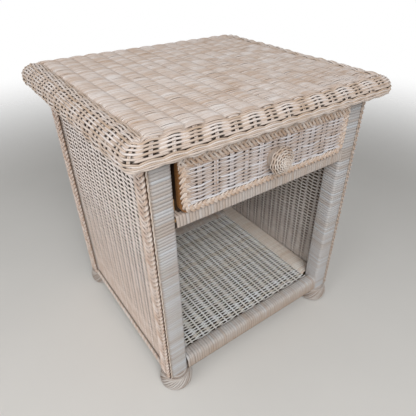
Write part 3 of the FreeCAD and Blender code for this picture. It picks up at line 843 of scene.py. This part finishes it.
# runs the plait down one side, along the bottom and up the other
def plaitPath(p):
    left, right, low, high = p["box"]
    a = left + p["left"] / 2
    b = right - p["right"] / 2
    c = low + p["bottom"] / 2
    r = p["corner"]
    top = high - p["top"] + p["tuck"]
    step = p["step"]
    bend = np.radians(np.linspace(0, 90, 10))
    spots = [(a, z) for z in np.arange(top, c + r, -step)]
    spots += [(a + r - r * math.cos(t), c + r - r * math.sin(t)) for t in bend]
    spots += [(x, c) for x in np.arange(a + r + step, b - r, step)]
    spots += [(b - r + r * math.sin(t), c + r - r * math.cos(t)) for t in bend]
    spots += [(b, z) for z in np.arange(c + r + step, top, step)]
    spots = np.array(spots)
    s = np.concatenate([[0], np.cumsum(np.linalg.norm(np.diff(spots, axis=0), axis=1))])
    slope = np.gradient(spots, axis=0)
    slope /= np.linalg.norm(slope, axis=1, keepdims=True)
    centre = np.stack([spots[:, 0], p["stand"] + 0 * s, spots[:, 1]], axis=1)
    sideways = np.stack([-slope[:, 1], 0 * s, slope[:, 0]], axis=1)
    upright = np.where(spots[:, 0] < 0, p["left"], p["right"])
    width = np.where(spots[:, 1] > c + r, upright, p["bottom"]).astype(float)
    ease = 6                       # steps on either side over which the width changes
    window = 2 * ease + 1
    width = np.convolve(np.pad(width, ease, mode="edge"), np.ones(window) / window, mode="valid")
    return s, centre, sideways, width


s, centre, sideways, width = plaitPath(drawerPlait)
outward = np.array([[0.0, -1.0, 0.0]])
rng = np.random.RandomState(91)
plaits = plait(s, centre, sideways, outward, width - 1, drawerPlait, rng)
left, right, low, high = topPlait["box"]
x = np.arange(left + 1, right, float(topPlait["step"]))
centre = np.stack([x, topPlait["stand"] + 0 * x, high - topPlait["top"] / 2 + 0 * x], axis=1)
plaits += plait(x, centre, np.array([[0.0, 0.0, 1.0]]), outward, topPlait["top"] - 1, topPlait, rng)
strandPiece("drawer_plait", plaits, drawerPlaitReed, "drawer", ["drawer_front_braid"])

# Knob

knob = {"centre": (0, 505.75), "along": (0, 14), "rowPitch": 2.2, "stakePitch": 1.0, "firstStake": 0.5,
        "pointsPerStake": 6, "crest": 1.0, "dip": 1.3, "deep": 1.3, "radius": 1.3, "stray": 0.15,
        "closed": True,
        "profile": [(1.0, -260.6), (9, -259.6), (16, -257.0), (21.2, -253.6), (24.0, -250.0), (23.6, -247.2),
                    (17, -246.2)]}
# the neck's rings sit at a lift below zero, so the dip colour paints shade on them
knobNeck = {"size": 17.4, "from": -231.5, "to": -246, "pitch": 2.6, "radius": 1.6, "lift": -0.3,
            "points": 40}
knobArc, knobPath, knobNormal = rolledProfile(knob["profile"])
knob["across"] = (0, knobArc[-1])
# the knob: handled, so warm tan shows through its wash; painted shade in its dips and on its neck
knobLook = dict(topLook, tan="#B79F8B", wash="#D9D2CC", tonePart=0.6, dipFrom=0.2)
knobReed = limedReed("limed_willow_reed_knob", knobLook)


def knobSurface(u, v, h):
    v = np.clip(v + 0 * u, 0, knobArc[-1])
    r = np.interp(v, knobArc, knobPath[:, 0]) - h * np.interp(v, knobArc, knobNormal[:, 0])
    y = np.interp(v, knobArc, knobPath[:, 1]) - h * np.interp(v, knobArc, knobNormal[:, 1])
    angle = 2 * math.pi * u / knob["along"][1]
    centreX, centreZ = knob["centre"]
    return np.stack([centreX + r * np.cos(angle), y, centreZ + r * np.sin(angle)], axis=1)


rng = np.random.RandomState(95)
strands = plainWeave(knobSurface, knob, rng)
turn = np.linspace(0, 2 * math.pi, knobNeck["points"], endpoint=False)
for y in np.arange(knobNeck["from"], knobNeck["to"], -knobNeck["pitch"]):
    points = np.stack([knob["centre"][0] + knobNeck["size"] * np.cos(turn), y + 0 * turn,
                       knob["centre"][1] + knobNeck["size"] * np.sin(turn)], axis=1)
    strands.append((points, knobNeck["radius"], rng.uniform(0, 1), knobNeck["lift"] + 0 * turn, True))
strandPiece("drawer_knob_weave", strands, knobReed, "drawer", ["drawer_knob"])
# a dark sheet inside the knob: painted shade between its rows
backingSheet("drawer_knob_core", knobSurface, knob["along"], knob["across"], (36, 12), -1.6, shadeSheetReed,
             "drawer", ["drawer_knob"])
print("drawer dressed")

# Bare timber and steel

# sawn and planed timber: straight grain lines, satin where handled
def timber(name, w):
    material, tree = emptyMaterial(name)
    place = addNode(tree, "TexCoord")
    stretch = [1 / (w["lineMm"] * mm)] * 3
    stretch["xyz".index(w["grain"])] = 1 / (w["lineMm"] * grainStretch * mm)
    along = addNode(tree, "Mapping", {"Scale": stretch}, {"Vector": (place, "Object")})
    lines = addNode(tree, "TexNoise", {"Scale": 1.0, "Detail": 5.0, "Roughness": 0.6},
                    {"Vector": (along, "Vector")})
    fac = addNode(tree, "MapRange", {"From Min": 0.35, "From Max": 0.65}, {"Value": (lines, "Fac")})
    colours = {6: linearColour(w["dark"]), 7: linearColour(w["light"])}
    body = addNode(tree, "Mix", {"data_type": "RGBA", **colours}, {0: (fac, "Result")})
    bump = addNode(tree, "Bump", {"Strength": 0.15, "Distance": 0.2 * mm}, {"Height": (lines, "Fac")})
    closeMaterial(tree, {"Roughness": w["rough"], "IOR": 1.5},
                  {"Base Color": (body, 2), "Normal": (bump, "Normal")})
    return material


# bright zinc-plated screw steel, brushed by the driver
def screwSteel(name):
    material, tree = emptyMaterial(name)
    place = addNode(tree, "TexCoord")
    scuff = addNode(tree, "TexNoise", {"Scale": 1 / (1.5 * mm), "Detail": 3.0},
                    {"Vector": (place, "Object")})
    rough = addNode(tree, "MapRange", {"To Min": 0.25, "To Max": 0.5}, {"Value": (scuff, "Fac")})
    closeMaterial(tree, {"Metallic": 1.0, "Base Color": linearColour("#B9B7B0")},
                  {"Roughness": (rough, "Result")})
    return material


# planed pine left bare: straw yellow, plain grain; stained beech: red-brown, a little smoother;
# sanded birch plywood: pale and even
grainStretch = 40      # a grain line's length as a share of its width
frameWood = {"lineMm": 2.2, "grain": "x", "dark": "#B98E5E", "light": "#D3AE7F", "rough": 0.6}
boardWood = {"lineMm": 1.8, "grain": "x", "dark": "#744C27", "light": "#A07042", "rough": 0.5}
plySheet = {"lineMm": 3.0, "grain": "y", "dark": "#C09A6B", "light": "#D6B98E", "rough": 0.65}
bareNodes = [(timber("pine_planed_rails", frameWood),
              ["front_top_rail", "back_top_rail", "left_top_rail", "right_top_rail", "back_middle_rail",
               "shelf_bar", "drawer_stops", "frame_dowels"]),
             (timber("pine_planed_runners", dict(frameWood, grain="y")), ["left_runner", "right_runner"]),
             # drawer sides near-black: painted shade for the dim gap beside the drawer front
             (timber("pine_dark_stained_sides", dict(boardWood, grain="y", dark="#2A1D13", light="#3B2A1C")),
              ["drawer_left_side", "drawer_right_side"]),
             (timber("beech_stained_board", boardWood), ["drawer_front_board"]),
             (timber("birch_plywood_sheet", plySheet), ["top_board", "drawer_bottom"]),
             (timber("birch_plywood_back", dict(plySheet, grain="x")), ["drawer_back"]),
             (screwSteel("steel_zinc_plated"), ["top_screws", "runner_screws", "knob_screw"])]
for material, names in bareNodes:
    for name in names:
        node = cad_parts[name]
        node.data.materials.clear()
        node.data.materials.append(material)
print("timber finished")

# Stage

cameraSetup = {"place": (-442.2, -668.3, 815.1), "yaw": 36.71, "pitch": 35.78, "roll": 0.28,
               "lens": 33.32, "shiftX": -0.0329, "shiftY": 0.0241}
camera = bpy.data.cameras.new("camera")
camera.sensor_width = 36.0
camera.lens = cameraSetup["lens"]
camera.shift_x = cameraSetup["shiftX"]
camera.shift_y = cameraSetup["shiftY"]
cameraObject = bpy.data.objects.new("camera", camera)
cameraObject.matrix_world = (Matrix.Translation(Vector(cameraSetup["place"]) * mm)
                             @ Matrix.Rotation(math.radians(-cameraSetup["yaw"]), 4, "Z")
                             @ Matrix.Rotation(math.radians(90 - cameraSetup["pitch"]), 4, "X")
                             @ Matrix.Rotation(math.radians(cameraSetup["roll"]), 4, "Z"))
bpy.context.scene.collection.objects.link(cameraObject)
bpy.context.scene.camera = cameraObject

# matt painted floor: near white, gone to nothing far from the part
floorSetup = {"size": 9000, "colour": "#DCDAD6", "patchMm": 220, "fade": (900, 2600)}
floorMaterial, tree = emptyMaterial("painted_floor_matt")
shade = mottled(tree, floorSetup["colour"], floorSetup["patchMm"], 0.97, 1.03)
shader = addNode(tree, "BsdfPrincipled", {"Roughness": 0.85, "Specular IOR Level": 0.2},
                 {"Base Color": (shade, 2)})
place = addNode(tree, "TexCoord")
away = addNode(tree, "VectorMath", {"operation": "LENGTH"}, {0: (place, "Object")})
near, far = (distance * mm for distance in floorSetup["fade"])
fade = addNode(tree, "MapRange", {"From Min": near, "From Max": far, "interpolation_type": "SMOOTHSTEP"},
               {"Value": (away, "Value")})
clear = addNode(tree, "BsdfTransparent")
faded = addNode(tree, "MixShader", None, {0: (fade, "Result"), 1: (shader, "BSDF"), 2: (clear, "BSDF")})
addNode(tree, "OutputMaterial", None, {"Surface": (faded, "Shader")})
floorShape = bmesh.new()
bmesh.ops.create_grid(floorShape, x_segments=1, y_segments=1, size=floorSetup["size"] / 2 * mm)
floorMesh = bpy.data.meshes.new("floor")
floorShape.to_mesh(floorMesh)
floorShape.free()
floorMesh.materials.append(floorMaterial)
floorObject = bpy.data.objects.new("floor", floorMesh)
bpy.context.scene.collection.objects.link(floorObject)

lamps = [{"name": "overhead", "place": (-100, 100, 2600), "aim": (0, 0, 400), "size": 2400, "watts": 6},
         {"name": "left_window", "place": (-2500, -500, 1200), "aim": (0, 0, 350), "size": 2000,
          "watts": 26},
         {"name": "front_fill", "place": (-800, -2000, 2000), "aim": (0, 0, 250), "size": 1700, "watts": 50}]
for setup in lamps:
    lamp = bpy.data.lights.new(setup["name"], "AREA")
    lamp.shape = "DISK"
    lamp.size = setup["size"] * mm
    lamp.energy = setup["watts"]
    lampObject = bpy.data.objects.new(setup["name"], lamp)
    lampObject.location = Vector(setup["place"]) * mm
    aim = (Vector(setup["aim"]) - Vector(setup["place"])).to_track_quat("-Z", "Y")
    lampObject.rotation_euler = aim.to_euler()
    bpy.context.scene.collection.objects.link(lampObject)

# a dim white surround lights the part, and the camera sees it as white
world = bpy.data.worlds.new("studio")
world.use_nodes = True
world.node_tree.nodes.clear()
background = addNode(world.node_tree, "Background", {"Color": (1, 1, 1, 1), "Strength": 0.16})
bright = addNode(world.node_tree, "Background", {"Color": (1, 1, 1, 1), "Strength": 1.0})
path = addNode(world.node_tree, "LightPath")
seen = addNode(world.node_tree, "Math", {"operation": "ADD"},
               {0: (path, "Is Camera Ray"), 1: (path, "Is Glossy Ray")})
seenAll = addNode(world.node_tree, "Math", {"operation": "ADD", "use_clamp": True},
                  {0: (seen, "Value"), 1: (path, "Is Transmission Ray")})
blend = addNode(world.node_tree, "MixShader", None,
                {0: (seenAll, "Value"), 1: (background, "Background"), 2: (bright, "Background")})
addNode(world.node_tree, "OutputWorld", None, {"Surface": (blend, "Shader")})
bpy.context.scene.world = world
bpy.context.scene.view_settings.view_transform = "Standard"
print("stage set")
